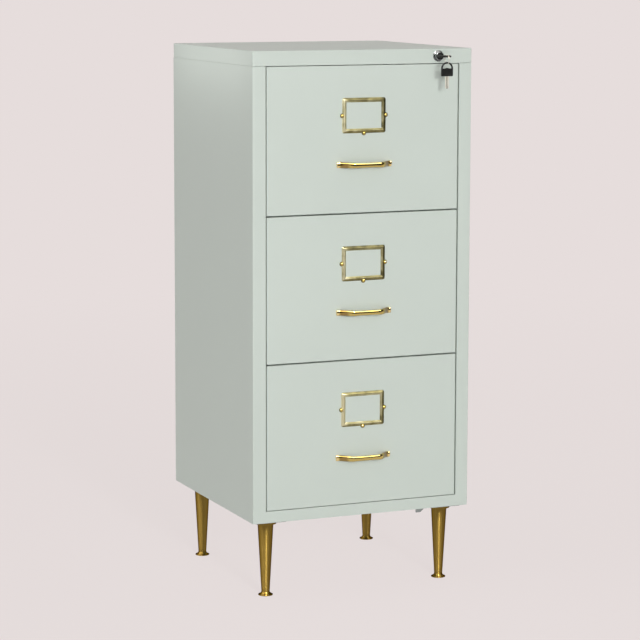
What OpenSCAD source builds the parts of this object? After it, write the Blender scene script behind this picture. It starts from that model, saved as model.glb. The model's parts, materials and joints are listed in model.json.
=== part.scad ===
// Upright steel filing cabinet: three drawers on telescopic slides, one gang lock, four tapered legs.
// Millimetres. Front faces -Y, +X is the viewer's right, +Z is up, the floor is z = 0.

/* [Cabinet] */
// Width over the side panels
cab_w = 450; // [440:5:480]
// Depth of the steel body
cab_d = 430; // [425:5:470]
// Height of the legs with plates and feet
leg_h = 150; // [130:5:180]
// Width of each front post
post_w = 26; // [24:1:28]
// Height of the cap band
cap_h = 28; // [28:1:34]
// Height of the front bottom rail
rail_h = 22; // [20:1:28]

/* [Drawers] */
// Distance from one drawer front to the next
pitch = 280; // [270:5:300]
// Gap between drawer fronts
gap = 3; // [2:0.5:4]
// Gap at each side of a drawer front
side_gap = 2; // [1.5:0.5:2.5]
// Depth of a drawer box
box_d = 360; // [350:5:370]

/* [Pull] */
// Overall width of the bow pull
pull_w = 112; // [108:2:124]
// How far the pull stands out
pull_out = 25; // [22:1:30]

/* [Label holder] */
// Width of the label frame
label_w = 89; // [80:1:100]
// Height of the label frame
label_h = 66.5; // [56:0.5:76]

/* [Legs] */
// Diameter at the top of the leg
leg_top_d = 31; // [28:1:34]
// Diameter at the bottom of the leg
leg_low_d = 16; // [14:1:18]
// Distance of the leg axis from the outside faces
leg_inset = 41.5; // [40:0.5:46]

/* [Hidden] */
$fn = 64;
sheet = 1;
bend = 2;
seam = 0.6;
key_reach = 49.5;
hw = cab_w / 2;
front_y = (key_reach - cab_d) / 2;
back_y = front_y + cab_d;
z_low = leg_h;
z_cap = leg_h + rail_h + 3 * pitch;
z_top = z_cap + cap_h;
post_in = hw - post_w;
wall_in = hw - sheet;
z_wall = z_cap - seam;
return_d = 22;
flange_w = 84;
joggle_z = z_cap + 18;
// drawers, slides
front_h = pitch - gap;
front_t = 18;
front_hw = post_in - side_gap;
slide_t = 12.7;
box_hw = post_in - slide_t;
box_low = 12;
box_h = 240;
box_y0 = front_y + front_t;
box_y1 = box_y0 + box_d;
slide_l = 350;
slide_y0 = front_y + 20;
slide_z = 100;
catch_z = 200;
upright_y = [front_y + 32, front_y + 325];
upright_d = 25;
// pull and label
pull_th = 5.5;
pull_tall = 11;
pull_mid = 9.4;
pull_round = 2.6;
pull_bend = 16;
pull_angle = 45;
pull_cc = 96;
pull_drop = 186;
pad_t = 4;
label_drop = 60.5;
label_rim = 8.4;
label_t = 3;
label_round = 4;
pin_r = 3.5;
ear_r = 4.5;
// lock
lock_x = 154;
lock_z = z_top - 14;
plug_r = 6.5;
nose_out = 9;
cam_y = front_y + 20;
cam_r = 11;
cam_pin_r = 2;
bar_throw = 2 * cam_r * sin(45);
bar_x0 = 203;
bar_x1 = 215;
bar_y0 = front_y + 24;
bar_y1 = front_y + 26;
hook_h = 6;
// keys
bow_t = 3.4;
bow_r = 12;
bow_l = 26.6;
bow_rim = 2.6;
blade_w = 7;
blade_l = 23.4;
blade_t = 2;
hang_out = 40;
bow_end_y = front_y - hang_out - 1.4;
ring_x = lock_x - 0.5;
ring_y = front_y - hang_out;
ring_in = 8;
wire = 0.75;
ring_z = lock_z + 2.5 - ring_in;
spare_top_z = ring_z - 7.4 + bow_rim;
// legs
leg_x = hw - leg_inset;
leg_ys = [front_y + leg_inset, back_y - leg_inset];
plate_half = 32;
plate_t = 3;
screw_at = 24;
foot_t = 8;
rim_t = 2;
foot_r = 14;
flange_t = 7;
flange_r = 21;
stem_r = 4;
bore_h = 30;
sunk = 1.8;

// lower edge of a drawer front, counted from the top drawer
function drawer_z(n) = z_cap - (n - 1) * pitch - gap / 2 - front_h;

// a block between two corners
module block(a, b) {
  translate(a) cube(b - a);
}

// the same shape at the left and at the right
module both_sides() {
  children();
  mirror([1, 0, 0]) children();
}

// a square with rounded corners, drawn around its centre
module round_rect(w, h, r) {
  square([w - 2 * r, h], center = true);
  square([w, h - 2 * r], center = true);
  for (x = [-1, 1], y = [-1, 1]) translate([x * (w / 2 - r), y * (h / 2 - r)]) circle(r);
}

// a quarter of a ring in the corner x > 0, y > 0
module quarter_ring(r_out, r_in) {
  difference() {
    intersection() {
      circle(r_out);
      square(r_out);
    }
    circle(r_in);
  }
}

// a shape drawn in x and z, given a thickness from y0 to y1
module along_y(y0, y1) {
  translate([0, y1, 0]) rotate([90, 0, 0]) linear_extrude(y1 - y0) children();
}

// plan of the right-hand side panel: wall, bent front corner, post, inner and rear returns
module side_plan() {
  translate([wall_in, front_y + bend]) square([sheet, cab_d - bend]);
  translate([post_in, front_y]) square([post_w - bend, sheet]);
  translate([hw - bend, front_y + bend]) mirror([0, 1]) quarter_ring(bend, bend - sheet);
  translate([post_in, front_y]) square([sheet, return_d]);
  translate([hw - 18, back_y - 2 * sheet]) square([18 - sheet / 2, sheet]);
}

// where the sixteen plate screws pass
module plate_screw_places() {
  for (x = [-leg_x, leg_x], y = leg_ys, i = [-1, 1], j = [-1, 1])
    translate([x + i * screw_at, y + j * screw_at, 0]) children();
}

module plate_screw_holes() {
  plate_screw_places() {
    translate([0, 0, z_low - 6]) cylinder(r = 3.2, h = 12);
    translate([0, 0, z_low - plate_t - 1]) cylinder(r = 5.6, h = 1 + sunk);
  }
}

module side_panel_right() {
  color("#CDD5CD") difference() {
    union() {
      translate([0, 0, z_low]) linear_extrude(z_wall - z_low) side_plan();
      block([wall_in - sheet, front_y + 8, z_wall - 8], [wall_in, back_y - 8, joggle_z]);
      block([hw - flange_w, front_y + sheet, z_low],
            [wall_in + sheet / 2, back_y - 2 * sheet, z_low + sheet]);
    }
    plate_screw_holes();
  }
}

module side_panel_left() {
  mirror([1, 0, 0]) side_panel_right();
}

// half-round stiffening bead pressed into the back panel
module back_bead(z) {
  translate([-170, back_y, z]) rotate([90, 0, 90]) linear_extrude(340) difference() {
    intersection() {
      circle(6);
      translate([-6, -6]) square([6, 12]);
    }
    circle(5);
  }
  for (x = [-171, 170]) translate([x, back_y, z]) rotate([90, 0, 90]) linear_extrude(1)
    intersection() {
      circle(6);
      translate([-6, -6]) square([6, 12]);
    }
}

module back_panel() {
  color("#CDD5CD") difference() {
    union() {
      difference() {
        block([-wall_in, back_y - sheet, z_low], [wall_in, back_y, z_wall]);
        for (z = [z_low + 260, z_low + 560])
          block([-170, back_y - 3, z - 5.5], [170, back_y + 3, z + 5.5]);
      }
      for (z = [z_low + 260, z_low + 560]) back_bead(z);
      block([-hw + 30, back_y - 2 * sheet, z_wall - 10], [hw - 30, back_y - sheet, joggle_z]);
    }
    for (x = [-150, 150])
      translate([x, back_y + 3, z_cap - 32]) rotate([90, 0, 0]) cylinder(r = 3, h = 8);
  }
}

// block with rounded upright and top edges, open to extra depth below
module cap_block(w, d, y_mid, z0, z1, r) {
  intersection() {
    translate([0, y_mid, z0]) linear_extrude(z1 - z0) round_rect(w, d, r);
    translate([0, y_mid + d, z1 - 60]) rotate([90, 0, 0]) linear_extrude(2 * d) round_rect(w, 120, r);
    translate([-w, y_mid, z1 - 60]) rotate([90, 0, 90]) linear_extrude(2 * w) round_rect(d, 120, r);
  }
}

module top_cap() {
  mid = (front_y + back_y) / 2;
  color("#CDD5CD") difference() {
    union() {
      difference() {
        cap_block(cab_w, cab_d, mid, z_cap, z_top, bend);
        cap_block(cab_w - 2 * sheet, cab_d - 2 * sheet, mid, z_cap - 1, z_top - sheet, bend - sheet);
      }
      block([-post_in, front_y + sheet / 2, z_cap], [post_in, front_y + 14, z_cap + sheet]);
    }
    translate([lock_x, front_y + 3, lock_z]) rotate([90, 0, 0]) cylinder(r = 9.3, h = 6);
  }
}

module bottom_panel() {
  z = z_low + sheet;
  color("#CDD5CD") difference() {
    block([-post_in, front_y + sheet, z], [post_in, back_y - 2 * sheet, z + sheet]);
    plate_screw_holes();
  }
}

module bottom_rail() {
  z = z_low + 2 * sheet;
  color("#CDD5CD") {
    block([-post_in, front_y, z_low], [post_in, front_y + sheet, z_low + rail_h]);
    block([-post_in, front_y, z_low + rail_h - sheet], [post_in, front_y + 16, z_low + rail_h]);
    block([-post_in, front_y, z], [post_in, front_y + 12, z + sheet]);
  }
}

module divider_rails() {
  color("#CDD5CD") for (n = [1, 2]) {
    z = z_cap - n * pitch;
    block([-post_in, front_y + 19, z - 6], [post_in, front_y + 20, z + 6]);
    block([-post_in, front_y + 19, z - 6], [post_in, front_y + 31, z - 5]);
    block([-post_in, front_y + 19, z + 5], [post_in, front_y + 31, z + 6]);
  }
}

module slide_uprights() {
  z0 = z_low + sheet;
  z1 = z_wall - 9;
  color("#9BA09B") both_sides() for (y = upright_y) {
    block([post_in, y, z0], [post_in + sheet, y + upright_d, z1]);
    block([post_in, y, z0], [wall_in, y + sheet, z1]);
    block([post_in, y + upright_d - sheet, z0], [wall_in, y + upright_d, z1]);
  }
}

// section of a slide member seen from the front: u runs from the cabinet to the drawer, v is up
module slide_section(web_u, web_v, tip_u, lip_v, th) {
  translate([web_u, -web_v]) square([th, 2 * web_v]);
  for (s = [0, 1]) mirror([0, s]) {
    translate([web_u, web_v - th]) square([tip_u - web_u, th]);
    translate([tip_u - th, lip_v]) square([th, web_v - lip_v]);
  }
}

// hat section of the member that carries the drawer
module slide_inner_section() {
  th = 1.2;
  translate([slide_t - th, -16.8]) square([th, 33.6]);
  for (s = [0, 1]) mirror([0, s]) {
    translate([4.8, 16.8 - th]) square([slide_t - 4.8, th]);
    translate([4.8, 16.8 - th]) square([th, 19.6 - 16.8 + th]);
  }
}

// a slide member in place at both sides of drawer n
module slide_member(n) {
  both_sides() translate([post_in, slide_y0 + slide_l, drawer_z(n) + slide_z])
    rotate([90, 0, 0]) linear_extrude(slide_l) mirror([1, 0]) children();
}

module slide_outers() {
  color("#B9BCBE") for (n = [1, 2, 3]) slide_member(n) slide_section(0, 22.8, 12, 19.8, 1.2);
}

module slide_mids(n) {
  color("#B9BCBE") slide_member(n) slide_section(2, 21.3, 10.4, 17.4, 1.2);
}

module slide_inners(n) {
  color("#B9BCBE") slide_member(n) slide_inner_section();
}

// plan of a drawer front pan: face with bent corners, side returns and lips
module front_plan() {
  both_sides() {
    translate([0, front_y]) square([front_hw - bend, sheet]);
    translate([front_hw - bend, front_y + bend]) mirror([0, 1]) quarter_ring(bend, bend - sheet);
    translate([front_hw - sheet, front_y + bend]) square([sheet, front_t - bend]);
    translate([front_hw - 8, box_y0 - sheet]) square([8, sheet]);
  }
}

module drawer_front(n) {
  z0 = drawer_z(n);
  z1 = z0 + front_h;
  z_pull = z1 - pull_drop;
  color("#CDD5CD") difference() {
    union() {
      translate([0, 0, z0]) linear_extrude(front_h) front_plan();
      for (z = [z0, z1 - sheet]) {
        block([-front_hw + bend, front_y + sheet / 2, z], [front_hw - bend, box_y0, z + sheet]);
        block([-front_hw + sheet / 2, front_y + bend, z], [front_hw - sheet / 2, box_y0, z + sheet]);
      }
      block([-front_hw + 1, box_y0 - sheet, z0], [front_hw - 1, box_y0, z0 + 16]);
    }
    for (x = [-pull_cc / 2, pull_cc / 2])
      translate([x, front_y + 3, z_pull]) rotate([90, 0, 0]) cylinder(r = 2.3, h = 6);
    label_pin_places(n) translate([0, 3, 0]) rotate([90, 0, 0]) cylinder(r = 1.4, h = 6);
  }
}

module drawer_box(n) {
  z0 = drawer_z(n) + box_low;
  z1 = z0 + box_h;
  color("#C6CEC7") {
    difference() {
      block([-box_hw, box_y0, z0], [box_hw, box_y1, z1]);
      block([-box_hw + sheet, box_y0 + sheet, z0 + sheet], [box_hw - sheet, box_y1 - sheet, z1 + 1]);
    }
    both_sides() block([box_hw - 9, box_y0, z1 - sheet], [box_hw, box_y1, z1]);
  }
}

module file_rails(n) {
  z1 = drawer_z(n) + box_low + box_h - 3;
  color("#B9BCBE") both_sides()
    block([164, box_y0 + sheet, z1 - 16], [166, box_y1 - sheet, z1]);
}

// the pull's cross-section, with room added all round for the thicker feet
module pull_section(extra) {
  round_rect(pull_th + extra, pull_tall + extra, pull_round);
}

// the pull seen from the front, right-hand half: low in the middle and higher at the foot
module pull_height() {
  foot_x = pull_cc / 2 - 8;
  high = pull_tall / 2 + 1;
  polygon([[-1, -pull_mid / 2], [12, -pull_mid / 2], [foot_x, -pull_tall / 2], [foot_x, -high],
           [pull_w, -high], [pull_w, high], [foot_x, high], [foot_x, pull_tall / 2],
           [12, pull_mid / 2], [-1, pull_mid / 2]]);
}

// right-hand half of a pull that stands on the plane y = 0 and points to -Y
module half_pull() {
  y_mid = -(pull_out - pull_th / 2);
  run = (pull_out - pull_th / 2 - pull_bend * (1 - cos(pull_angle))) / sin(pull_angle);
  a = pull_w / 2 - pull_bend * sin(pull_angle) - run * cos(pull_angle) - pull_th / 2 / sin(pull_angle);
  bend_end = [a + pull_bend * sin(pull_angle), y_mid + pull_bend * (1 - cos(pull_angle)), 0];
  intersection() {
    union() {
      translate([0, y_mid, 0]) rotate([90, 0, 90]) linear_extrude(a) pull_section(0);
      translate([a, y_mid + pull_bend, 0]) rotate([0, 0, -90]) rotate_extrude(angle = pull_angle)
        translate([pull_bend, 0]) pull_section(0);
      translate(bend_end) rotate([0, 0, pull_angle]) translate([-0.6, 0, 0]) rotate([90, 0, 90])
        linear_extrude(run + 8) pull_section(0.3);
    }
    along_y(-pull_out - 1, 0) pull_height();
  }
  block([pull_cc / 2 - 6, -pad_t, -pull_tall / 2 - 0.3], [pull_w / 2 - 1, 0, pull_tall / 2 + 0.3]);
}

module pull(n) {
  color("#C9A04A") translate([0, front_y, drawer_z(n) + front_h - pull_drop]) difference() {
    both_sides() half_pull();
    for (x = [-pull_cc / 2, pull_cc / 2])
      translate([x, 1, 0]) rotate([90, 0, 0]) cylinder(r = 2.1, h = pad_t);
  }
}

module pull_screws(n) {
  color("#B9BCBE") for (x = [-pull_cc / 2, pull_cc / 2])
    translate([x, front_y, drawer_z(n) + front_h - pull_drop]) rotate([90, 0, 0]) {
      translate([0, 0, -sheet]) cylinder(r = 2, h = sheet + pad_t - 1.5);
      translate([0, 0, -sheet - 2.4]) cylinder(r = 3.8, h = 2.4);
    }
}

// centres of the three pins of a label holder, on the drawer's face
module label_pin_places(n) {
  z_mid = drawer_z(n) + front_h - label_drop - label_h / 2;
  for (p = [[-label_w / 2, 0], [label_w / 2, 0], [0, -label_h / 2]])
    translate([p[0], front_y, z_mid + p[1]]) children();
}

// one mitred side of the label frame, from its own outer edge inwards
module frame_side(len) {
  intersection() {
    translate([-len / 2, 0, 0]) rotate([90, 0, 90]) linear_extrude(len)
      polygon([[0, 0], [0, label_rim], [-0.8, label_rim], [-label_t, label_rim - 3], [-label_t, 4.2],
               [-0.8, 0]]);
    along_y(-label_t, 0) polygon([[-len / 2, 0], [len / 2, 0], [0, len / 2]]);
  }
}

module label_holder(n) {
  z_mid = drawer_z(n) + front_h - label_drop - label_h / 2;
  color("#8F7F4B") difference() {
    union() {
      translate([0, front_y, z_mid]) intersection() {
        union() {
          translate([0, 0, -label_h / 2]) frame_side(label_w);
          translate([0, 0, label_h / 2]) rotate([0, 180, 0]) frame_side(label_w);
          translate([-label_w / 2, 0, 0]) rotate([0, 90, 0]) frame_side(label_h);
          translate([label_w / 2, 0, 0]) rotate([0, -90, 0]) frame_side(label_h);
        }
        along_y(-label_t - 1, 1) round_rect(label_w, label_h, label_round);
      }
      label_pin_places(n) rotate([90, 0, 0]) cylinder(r = ear_r, h = 1.2);
    }
    translate([0, front_y, z_mid])
      block([-label_w / 2 + 4, -0.7, -label_h / 2 + 4], [label_w / 2 - 4, 1, label_h / 2 + 1]);
    label_pin_places(n) translate([0, 1, 0]) rotate([90, 0, 0]) cylinder(r = 1.4, h = 4.4);
    label_pin_places(n) translate([0, -1.2, 0]) rotate([90, 0, 0]) cylinder(r = pin_r + 0.2, h = 4);
  }
}

module label_pins(n) {
  color("#C9A04A") label_pin_places(n) {
    translate([0, 2.6, 0]) rotate([90, 0, 0]) cylinder(r = 1.2, h = 3.8);
    intersection() {
      translate([0, -1.2, 0]) sphere(r = pin_r);
      block([-pin_r, -1.2 - pin_r, -pin_r], [pin_r, -1.2, pin_r]);
    }
  }
}

module lock_catch(n) {
  z = drawer_z(n) + catch_z;
  color("#B9BCBE") {
    block([box_hw, front_y + 26.8, z - 3], [box_hw + 9.7, front_y + 28.4, z + 3]);
    block([box_hw, front_y + 26.8, z - 3], [box_hw + 1.4, front_y + 44, z + 3]);
  }
}

// a round bar along the lock's axis, from y0 to y1 measured from the front face
module lock_round(r, y0, y1) {
  translate([lock_x, front_y + y1, lock_z]) rotate([90, 0, 0]) cylinder(r = r, h = y1 - y0);
}

module lock_barrel() {
  color("#4A4D4B") difference() {
    union() {
      lock_round(10.75, -2, 0);
      translate([lock_x, front_y - 2, lock_z]) rotate([90, 0, 0]) cylinder(r1 = 10.75, r2 = 9.2, h = 1.5);
      lock_round(8.2, -nose_out, 0);
      lock_round(9, 0, 19.8);
    }
    lock_round(plug_r + 0.06, -nose_out - 1, 21);
  }
}

module lock_nut() {
  color("#B9BCBE") difference() {
    translate([lock_x, front_y + 5, lock_z]) rotate([90, 0, 0]) cylinder(r = 12, h = 4, $fn = 6);
    lock_round(9.1, 0, 6);
  }
}

module lock_plug() {
  color("#B9BCBE") difference() {
    lock_round(plug_r, -nose_out, 20);
    block([lock_x - blade_w / 2 - 0.1, front_y - nose_out - 1, lock_z - blade_t / 2 - 0.1],
          [lock_x + blade_w / 2 + 0.1, front_y + 13, lock_z + blade_t / 2 + 0.1]);
  }
}

module lock_cam() {
  color("#B9BCBE") {
    lock_round(6, 20, 22.5);
    translate([lock_x, front_y + 22.5, lock_z]) rotate([90, 0, 0]) linear_extrude(2.5)
      rotate(45) translate([0, -3]) square([cam_r, 6]);
    translate([lock_x + cam_r * cos(45), front_y + 22.5, lock_z + cam_r * sin(45)]) rotate([90, 0, 0])
      cylinder(r = 3, h = 2.5);
    translate([lock_x + cam_r * cos(45), front_y + 27, lock_z + cam_r * sin(45)]) rotate([90, 0, 0])
      cylinder(r = cam_pin_r, h = 4.5);
  }
}

module lock_bar() {
  z_pin = lock_z + cam_r * sin(45);
  half = cam_pin_r + 2.4;
  slot_x0 = lock_x + cam_r * cos(45) - cam_pin_r - 0.5;
  slot_x1 = lock_x + cam_r + cam_pin_r + 0.5;
  color("#B9BCBE") {
    block([bar_x0, bar_y0, z_low + 20], [bar_x1, bar_y1, z_pin + half]);
    difference() {
      block([slot_x0 - 1.8, bar_y0, z_pin - half], [bar_x1, bar_y1, z_pin + half]);
      block([slot_x0, bar_y0 - 1, z_pin - cam_pin_r - 0.6], [slot_x1, bar_y1 + 1, z_pin + cam_pin_r + 0.6]);
    }
  }
}

module lock_hooks() {
  color("#B9BCBE") for (n = [1, 2, 3]) {
    z = drawer_z(n) + catch_z + bar_throw;
    block([bar_x0 - 12, bar_y0, z - hook_h / 2], [bar_x0, bar_y1, z + hook_h / 2]);
  }
}

module bar_guides() {
  color("#B9BCBE") for (z = [z_low + 170, z_low + 450, z_low + 730]) {
    block([bar_x0 - 2, front_y + 22.4, z], [bar_x1 + 2, front_y + 23.4, z + 10]);
    for (x = [bar_x0 - 2, bar_x1 + 1]) block([x, front_y + 22.4, z], [x + 1, upright_y[0], z + 10]);
  }
}

// outline of a key's plastic head: straight foot, arched top, crescent hole; the arch's top is at y = 0
module bow_outline() {
  difference() {
    union() {
      translate([0, -bow_r]) circle(bow_r);
      translate([-bow_r, -bow_l + 1.5]) square([2 * bow_r, bow_l - bow_r - 1.5]);
      translate([-bow_r + 1.5, -bow_l]) square([2 * bow_r - 3, 3]);
      for (x = [-1, 1]) translate([x * (bow_r - 1.5), -bow_l + 1.5]) circle(1.5);
    }
    difference() {
      translate([0, -bow_r]) intersection() {
        circle(bow_r - bow_rim);
        translate([-bow_r, 0]) square([2 * bow_r, bow_r]);
      }
      translate([0, -bow_r - 6.5]) circle(7.5);
    }
  }
}

// outline of a flat key blade with cuts along one edge; it starts at y = 0 and points to -y
module blade_outline() {
  difference() {
    union() {
      translate([-blade_w / 2, -blade_l + 2]) square([blade_w, blade_l - 2]);
      polygon([[-blade_w / 2, -blade_l + 3], [-blade_w / 2, -blade_l + 2], [-1, -blade_l], [1, -blade_l],
               [blade_w / 2, -blade_l + 2], [blade_w / 2, -blade_l + 3]]);
    }
    for (c = [[-9, 1.6], [-12, 0.9], [-15, 2.0], [-18, 1.2]])
      translate([blade_w / 2 - c[1], c[0]]) polygon([[0, 0], [4, -2.2], [4, 2.2]]);
  }
}

// the key in the lock lies flat, its arch pointing at the viewer
module inserted() {
  translate([lock_x, bow_end_y, lock_z]) mirror([0, 1, 0]) children();
}

module key_bow() {
  color("#1E1F1E") inserted() translate([0, 0, -bow_t / 2]) linear_extrude(bow_t) bow_outline();
}

module key_blade() {
  color("#B9BCBE") inserted() translate([0, -bow_l, -blade_t / 2]) linear_extrude(blade_t) blade_outline();
}

module key_ring() {
  color("#B9BCBE") translate([ring_x, ring_y, ring_z]) rotate([0, 90, 0])
    rotate_extrude() translate([ring_in + wire, 0]) circle(wire);
}

module spare_bow() {
  color("#1E1F1E") translate([ring_x, ring_y, spare_top_z]) along_y(-bow_t / 2, bow_t / 2) bow_outline();
}

module spare_blade() {
  color("#B9BCBE") translate([ring_x, ring_y, spare_top_z - bow_l])
    along_y(-blade_t / 2, blade_t / 2) blade_outline();
}

module legs() {
  z1 = z_low - plate_t;
  color("#A8872F") for (x = [-leg_x, leg_x], y = leg_ys) translate([x, y, 0]) difference() {
    union() {
      translate([0, 0, foot_t]) cylinder(d1 = leg_low_d, d2 = leg_top_d, h = z1 - foot_t);
      translate([0, 0, z1 - flange_t]) cylinder(r = flange_r, h = flange_t);
    }
    translate([0, 0, foot_t + bore_h])
      cylinder(d1 = leg_low_d, d2 = leg_top_d - 3, h = z1 - foot_t - bore_h + 0.01);
    cylinder(r = stem_r + 0.1, h = bore_h);
  }
}

module leg_plates() {
  color("#9BA09B") difference() {
    for (x = [-leg_x, leg_x], y = leg_ys) translate([x, y, z_low - plate_t])
      linear_extrude(plate_t) round_rect(2 * plate_half, 2 * plate_half, 5);
    plate_screw_holes();
  }
}

module plate_screws() {
  color("#B9BCBE") plate_screw_places() {
    translate([0, 0, z_low - plate_t]) cylinder(r = 5.2, h = sunk);
    translate([0, 0, z_low - plate_t]) cylinder(r = 3, h = plate_t + 4);
  }
}

module bottom_clip() {
  x0 = leg_x - plate_half - 34.5;
  z1 = z_low + sheet;
  color("#9BA09B") {
    block([x0, front_y + 6, z1 - 1.5], [x0 + 17, front_y + 30, z1]);
    translate([0, front_y + 6, 0]) along_y(0, 1.5)
      polygon([[x0, z_low - 8], [x0 + 10, z_low - 8], [x0 + 17, z_low - 1.5], [x0 + 17, z1], [x0, z1]]);
  }
}

module foot(x, y) {
  color("#A8872F") translate([x, y, 0]) {
    cylinder(r = foot_r, h = rim_t);
    translate([0, 0, rim_t]) cylinder(r1 = foot_r - 1.5, r2 = leg_low_d / 2, h = foot_t - rim_t);
    cylinder(r = stem_r, h = bore_h - 2);
  }
}

side_panel_left();
side_panel_right();
back_panel();
top_cap();
bottom_panel();
bottom_rail();
divider_rails();
slide_uprights();
slide_outers();
legs();
leg_plates();
plate_screws();
lock_barrel();
lock_nut();
bar_guides();
bottom_clip();
drawer_front(1);  // drawer_front_1
drawer_front(2);  // drawer_front_2
drawer_front(3);  // drawer_front_3
drawer_box(1);  // drawer_box_1
drawer_box(2);  // drawer_box_2
drawer_box(3);  // drawer_box_3
file_rails(1);  // file_rails_1
file_rails(2);  // file_rails_2
file_rails(3);  // file_rails_3
pull(1);  // pull_1
pull(2);  // pull_2
pull(3);  // pull_3
pull_screws(1);  // pull_screws_1
pull_screws(2);  // pull_screws_2
pull_screws(3);  // pull_screws_3
label_holder(1);  // label_holder_1
label_holder(2);  // label_holder_2
label_holder(3);  // label_holder_3
label_pins(1);  // label_pins_1
label_pins(2);  // label_pins_2
label_pins(3);  // label_pins_3
slide_inners(1);  // slide_inners_1
slide_inners(2);  // slide_inners_2
slide_inners(3);  // slide_inners_3
lock_catch(1);  // lock_catch_1
lock_catch(2);  // lock_catch_2
lock_catch(3);  // lock_catch_3
slide_mids(1);  // slide_mids_1
slide_mids(2);  // slide_mids_2
slide_mids(3);  // slide_mids_3
lock_plug();
lock_cam();
lock_bar();
lock_hooks();
key_blade();
key_bow();
key_ring();
spare_blade();
spare_bow();
foot(-leg_x, leg_ys[0]);  // foot_fl
foot(leg_x, leg_ys[0]);  // foot_fr
foot(-leg_x, leg_ys[1]);  // foot_bl
foot(leg_x, leg_ys[1]);  // foot_br
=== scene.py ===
# %% [markdown]
# # An upright steel filing cabinet on brass legs
#
# The cabinet is folded sheet steel with three drawers, a cam lock and four turned legs. Its solid parts
# come ready made and stay where they are. What is made here is the finish of every part, and a finer
# surface for the pieces that the eye goes to: pulls, label frames, lock, keys, legs and feet.
# Lengths are written in millimetres, as on a workshop drawing, and become metres when a mesh is built.

# %% Open the frame
import json
import math

import bpy
import numpy as np
from mathutils import Matrix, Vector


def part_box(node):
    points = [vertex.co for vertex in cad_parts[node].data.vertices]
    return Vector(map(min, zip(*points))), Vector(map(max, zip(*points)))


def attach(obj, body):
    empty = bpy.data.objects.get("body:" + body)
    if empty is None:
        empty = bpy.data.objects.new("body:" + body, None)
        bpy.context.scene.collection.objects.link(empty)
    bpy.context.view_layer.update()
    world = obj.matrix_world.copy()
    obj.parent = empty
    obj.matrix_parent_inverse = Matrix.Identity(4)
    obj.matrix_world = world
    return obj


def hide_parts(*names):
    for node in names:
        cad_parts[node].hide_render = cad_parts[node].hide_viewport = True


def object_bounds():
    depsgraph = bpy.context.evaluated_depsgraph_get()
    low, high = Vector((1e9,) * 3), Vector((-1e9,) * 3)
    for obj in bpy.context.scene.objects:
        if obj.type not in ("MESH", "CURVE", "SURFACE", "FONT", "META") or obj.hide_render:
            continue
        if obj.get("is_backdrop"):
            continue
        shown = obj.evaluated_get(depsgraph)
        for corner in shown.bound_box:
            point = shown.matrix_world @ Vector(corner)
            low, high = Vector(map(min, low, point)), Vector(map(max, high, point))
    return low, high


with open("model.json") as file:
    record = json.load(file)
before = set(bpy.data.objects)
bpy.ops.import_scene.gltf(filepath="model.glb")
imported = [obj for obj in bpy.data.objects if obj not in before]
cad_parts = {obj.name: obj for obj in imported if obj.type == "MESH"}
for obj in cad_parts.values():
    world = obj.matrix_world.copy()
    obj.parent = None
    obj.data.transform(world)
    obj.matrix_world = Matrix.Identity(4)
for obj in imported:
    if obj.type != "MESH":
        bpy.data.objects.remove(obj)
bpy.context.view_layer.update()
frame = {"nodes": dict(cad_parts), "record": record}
nodes = frame["nodes"]

# %% [markdown]
# ## Where the camera stands
#
# A tall cabinet is shown from far away with a long lens, so that its upright edges stay nearly
# parallel. The camera stands to the left of the front, a little above the top, and looks slightly
# down. Turning a camera down makes uprights lean together, so part of the framing is done with lens
# shift, which slides the picture without tilting the camera.

# %% Camera
scene = bpy.context.scene
scene.view_settings.view_transform = "Standard"
YAW, PITCH, ROLL = 0.40294, 0.134345, 0.0021  # radians: to the right, down and clockwise
CAMERA_AT = (-1.90428, -4.44890, 1.21917)
FOCAL_MM, SENSOR_MM = 139.46, 36.0
ahead = np.array([math.sin(YAW) * math.cos(PITCH), math.cos(YAW) * math.cos(PITCH), -math.sin(PITCH)])
level = np.array([math.cos(YAW), -math.sin(YAW), 0.0])
over = np.cross(level, ahead)
turn = np.eye(4)
turn[:3, 0] = level * math.cos(ROLL) + over * math.sin(ROLL)
turn[:3, 1] = over * math.cos(ROLL) - level * math.sin(ROLL)
turn[:3, 2] = -ahead
turn[:3, 3] = CAMERA_AT
lens = bpy.data.cameras.new("long_lens")
lens.lens, lens.sensor_width, lens.sensor_fit = FOCAL_MM, SENSOR_MM, "HORIZONTAL"
lens.shift_y, lens.clip_end = -0.05, 400.0
camera = bpy.data.objects.new("camera", lens)
camera.matrix_world = Matrix(turn.tolist())
scene.collection.objects.link(camera)
scene.camera = camera
print("camera at", [round(v, 3) for v in camera.matrix_world.translation])

# %% [markdown]
# ## Small tools for shaders
#
# Paint and metal charts give colours as sRGB hex values, while Blender's shaders work with linear
# light, so one function turns the first into the second. A shader is a small tree of nodes; one
# function adds a node with its options, plain values and links, which keeps each finish short.

# %% Colour and node helpers
def tone(hex_code):
    """sRGB hex to linear colour: (c / 12.92) below 0.04045, else ((c + 0.055) / 1.055) ** 2.4."""
    c = np.array([int(hex_code[i:i + 2], 16) for i in (1, 3, 5)]) / 255
    c = np.where(c <= 0.04045, c / 12.92, ((c + 0.055) / 1.055) ** 2.4)
    return (*c.tolist(), 1.0)


def plug(tree, node, inputs):
    """Fills sockets, by name or number, with a plain value, with an output that is linked into it, or
    with a node, which stands for its first output."""
    for name, value in inputs.items():
        value = value.outputs[0] if isinstance(value, bpy.types.Node) else value
        if isinstance(value, bpy.types.NodeSocket):
            tree.links.new(value, node.inputs[name])
        else:
            node.inputs[name].default_value = value
    return node


def add(tree, kind, options=None, inputs=None):
    """Adds a node with its own settings, values and links."""
    node = tree.nodes.new("ShaderNode" + kind)
    for name, value in (options or {}).items():
        setattr(node, name, value)
    return plug(tree, node, inputs or {})


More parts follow.
